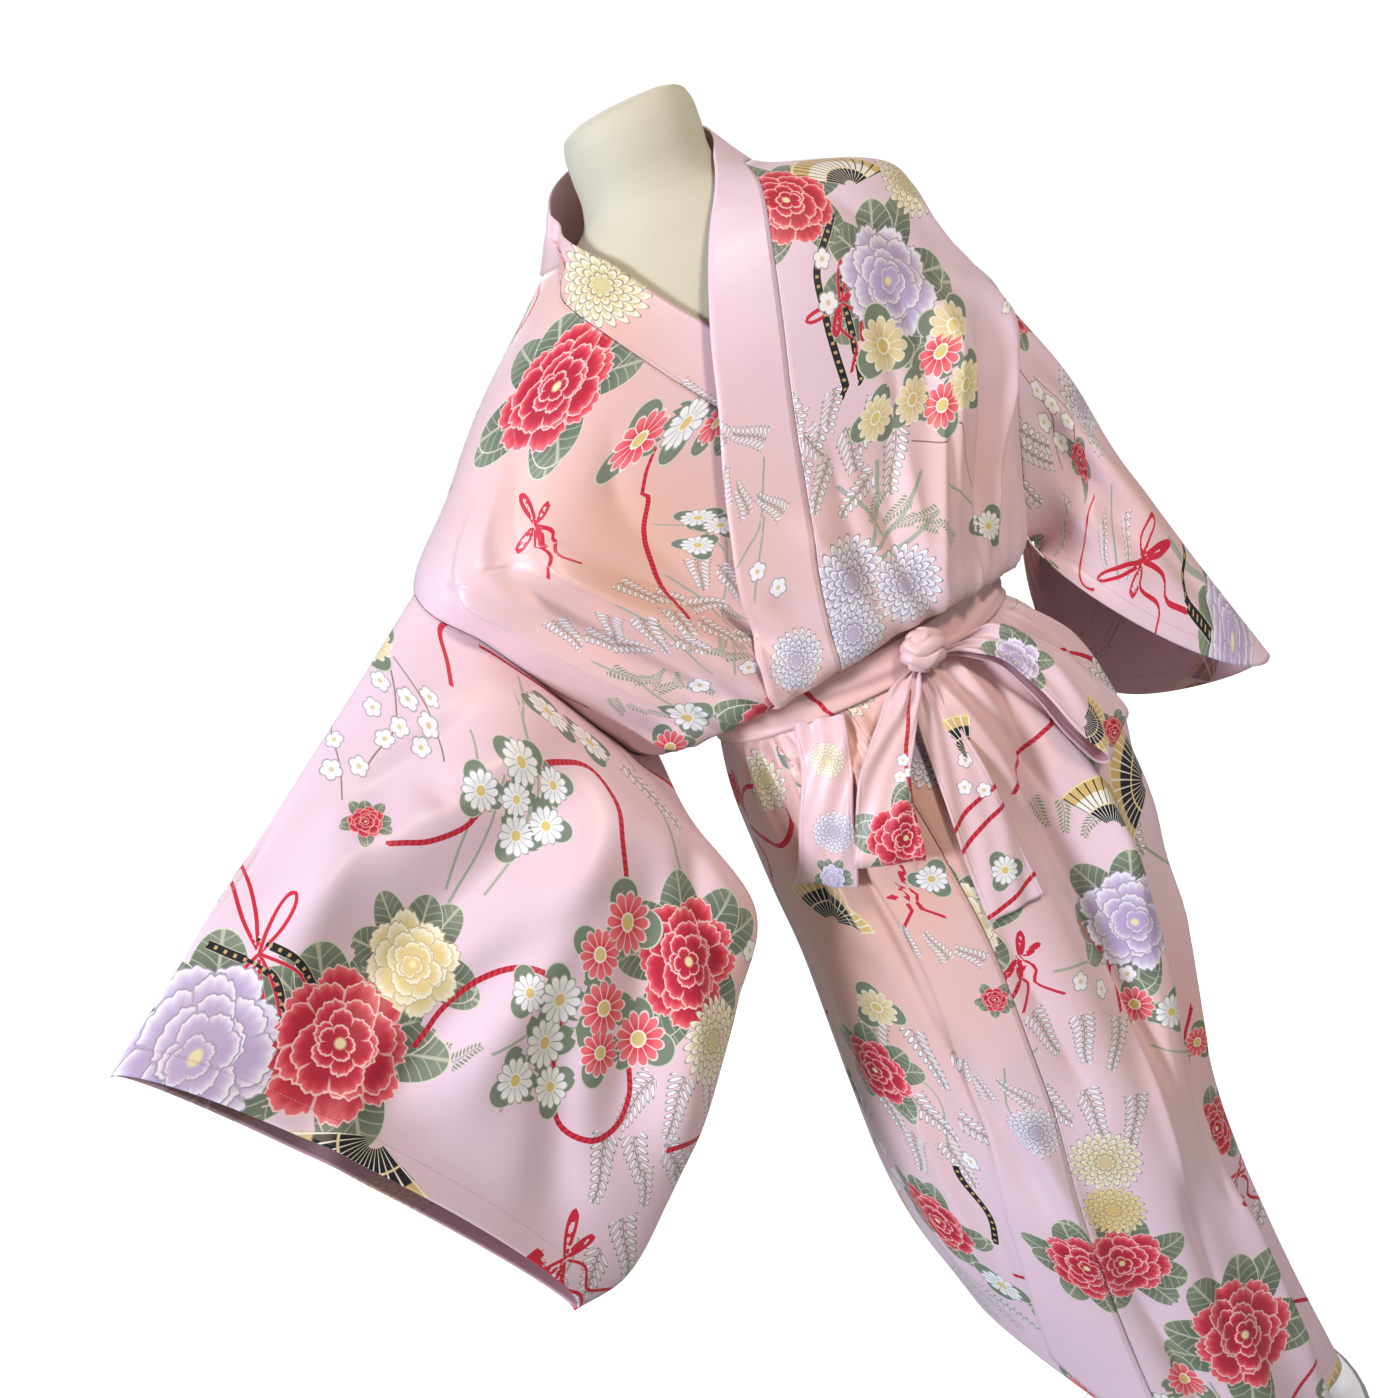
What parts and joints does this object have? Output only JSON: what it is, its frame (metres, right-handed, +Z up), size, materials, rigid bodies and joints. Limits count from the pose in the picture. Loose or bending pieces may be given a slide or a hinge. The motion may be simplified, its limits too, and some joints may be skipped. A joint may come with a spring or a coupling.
{
  "type": "kimono robe on a dress form",
  "caption": "Printed satin kimono robe with wide sleeves and a tied belt, worn by a limbless dress form on a round stand.",
  "frame": {"origin": "centre of the stand's foot, on the floor", "axes": "+Z up, the front of the robe faces -Y, +X to the wearer's left"},
  "size_m": [1.0531, 0.3907, 1.513],
  "materials": {
    "printed_satin": "printed satin, soft sheen",
    "sewing_thread": "matte thread",
    "jersey": "matte knit",
    "stand_metal": "satin paint"
  },
  "bodies": {
    "root": {"robe_back": "printed_satin", "robe_front_left": "printed_satin", "robe_front_right": "printed_satin", "neckband": "printed_satin", "sleeve_left": "printed_satin", "sleeve_right": "printed_satin", "belt_wrap": "printed_satin", "belt_knot": "printed_satin", "belt_loop_left": "printed_satin", "belt_loop_right": "printed_satin", "belt_tail_left": "printed_satin", "belt_tail_right": "printed_satin", "form_torso": "jersey", "form_pole": "stand_metal", "form_foot": "stand_metal"}
  },
  "joints": []
}
